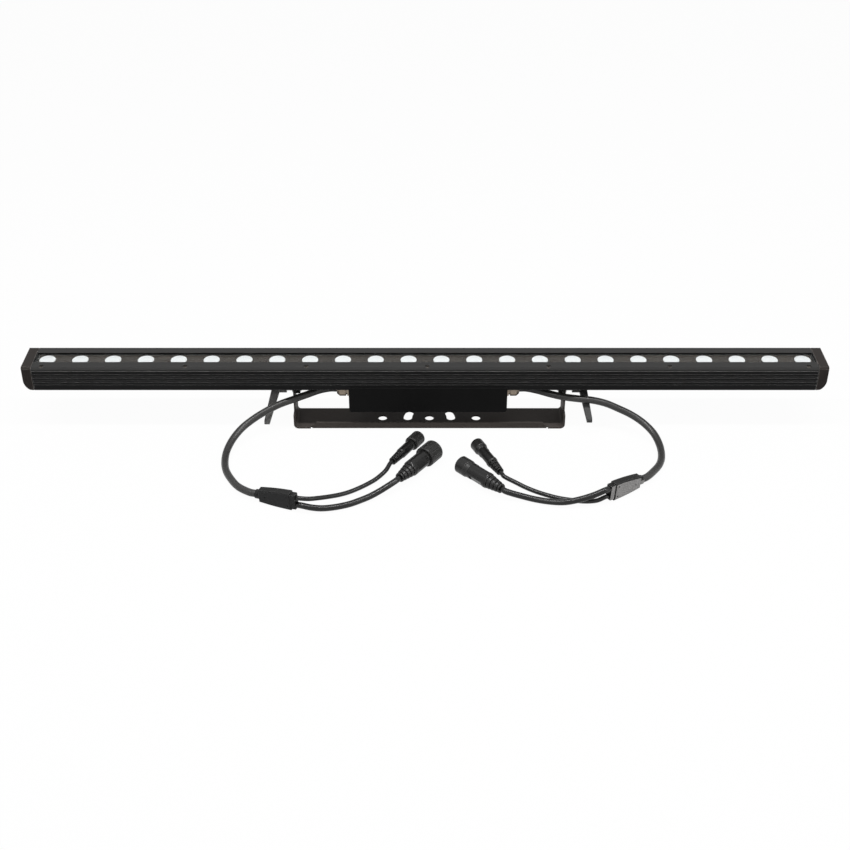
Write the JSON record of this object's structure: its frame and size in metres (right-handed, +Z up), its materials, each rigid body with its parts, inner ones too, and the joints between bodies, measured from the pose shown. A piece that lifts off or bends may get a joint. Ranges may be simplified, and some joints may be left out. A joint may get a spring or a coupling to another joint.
{
  "type": "linear wall washer light",
  "caption": "Linear LED wall washer: a slim black aluminium bar with a row of lenses, on a tilting U bracket with clamping levers, with two cable sets lying in front.",
  "frame": {"origin": "centre of the middle bolt hole, at the underside of the bracket's base, which stands on the ground", "axes": "+X along the bar to the right as seen from the front, -Y towards the front, +Z up"},
  "size_m": [1, 0.2298, 0.0921],
  "materials": {
    "anodised": "satin black anodised",
    "cast_black": "matt black powder coat on a casting",
    "coated_steel": "satin black powder coat",
    "steel": "plain",
    "brass": "plain turned brass",
    "nylon": "moulded, slightly rough",
    "cable_rubber": "matt",
    "seal_rubber": "matt",
    "ring_rubber": "matt",
    "moulding": "soft moulded plastic",
    "panel": "matt black",
    "clear_plastic": "clear acrylic",
    "board": "white solder mask",
    "led": "phosphor and silicone",
    "circuit": "green laminate",
    "component": "moulded",
    "lead": "insulated",
    "glass": "clear toughened glass"
  },
  "bodies": {
    "yoke": {"yoke_bracket": "coated_steel", "friction_discs": "nylon", "arm_washers": "steel", "left_main_cable": "cable_rubber", "left_splitter": "moulding", "left_power_tail": "cable_rubber", "left_data_tail": "cable_rubber", "left_power_plug": "moulding", "left_data_plug": "moulding", "right_main_cable": "cable_rubber", "right_splitter": "moulding", "right_power_tail": "cable_rubber", "right_data_tail": "cable_rubber", "right_power_socket": "moulding", "right_data_socket": "moulding", "contact_pins": "brass", "plug_seals": "ring_rubber"},
    "head": {"housing": "anodised", "left_end_cap": "cast_black", "right_end_cap": "cast_black", "end_gaskets": "seal_rubber", "end_cap_screws": "steel", "front_trim": "anodised", "rear_trim": "anodised", "trim_screws": "brass", "cover_glass": "glass", "glass_gasket": "seal_rubber", "lens_panel": "panel", "lenses": "clear_plastic", "led_board": "board", "leds": "led", "driver_box": "cast_black", "box_gasket": "seal_rubber", "box_screws": "steel", "driver_board": "circuit", "board_screws": "steel", "driver_parts": "component", "inner_leads": "lead", "wire_grommet": "seal_rubber", "pivot_ears": "anodised", "t_nuts": "steel", "ear_screws": "steel", "gland_bodies": "brass", "gland_nuts": "brass", "gland_lock_nuts": "brass", "gland_seals": "seal_rubber"},
    "left_lever": {"left_lever_stud": "steel", "left_lever_screw": "steel", "left_lever_spring": "steel"},
    "left_handle": {"left_lever_handle": "nylon"},
    "right_lever": {"right_lever_stud": "steel", "right_lever_screw": "steel", "right_lever_spring": "steel"},
    "right_handle": {"right_lever_handle": "nylon"},
    "left_power_nut": {"left_power_nut": "moulding"},
    "left_data_nut": {"left_data_nut": "moulding"},
    "right_power_cap": {"right_power_cap": "moulding"},
    "right_data_cap": {"right_data_cap": "moulding"}
  },
  "joints": [
    {"name": "head_tilt", "type": "hinge", "parent": "yoke", "child": "head", "pos_m": [0, 0, 0.0466], "axis": [1, 0, 0], "range_deg": [-90, 30]},
    {"name": "left_lever_turn", "type": "hinge", "parent": "yoke", "child": "left_lever", "pos_m": [-0.17225, 0, 0.0466], "axis": [1, 0, 0], "range_deg": [0, 38]},
    {"name": "left_handle_pull", "type": "slide", "parent": "left_lever", "child": "left_handle", "axis": [-1, 0, 0], "range_m": [0, 0.003], "stiffness_N_per_m": 2000, "deforming": ["left_lever_spring"]},
    {"name": "right_lever_turn", "type": "hinge", "parent": "yoke", "child": "right_lever", "pos_m": [0.17225, 0, 0.0466], "axis": [1, 0, 0], "range_deg": [0, 57]},
    {"name": "right_handle_pull", "type": "slide", "parent": "right_lever", "child": "right_handle", "axis": [1, 0, 0], "range_m": [0, 0.003], "stiffness_N_per_m": 2000, "deforming": ["right_lever_spring"]},
    {"name": "left_power_nut_turn", "type": "hinge", "parent": "yoke", "child": "left_power_nut", "pos_m": [0.00014, -0.09639, 0.013], "axis": [0.5736, 0.8192, 0], "continuous": true},
    {"name": "left_data_nut_turn", "type": "hinge", "parent": "yoke", "child": "left_data_nut", "pos_m": [-0.01842, -0.06343, 0.009], "axis": [0.515, 0.8572, 0], "continuous": true},
    {"name": "right_power_cap_turn", "type": "hinge", "parent": "yoke", "child": "right_power_cap", "pos_m": [0.04408, -0.12322, 0.0108], "axis": [-0.682, 0.7314, 0], "continuous": true},
    {"name": "right_data_cap_turn", "type": "hinge", "parent": "yoke", "child": "right_data_cap", "pos_m": [0.06222, -0.07794, 0.0084], "axis": [-0.4067, 0.9135, 0], "continuous": true}
  ]
}
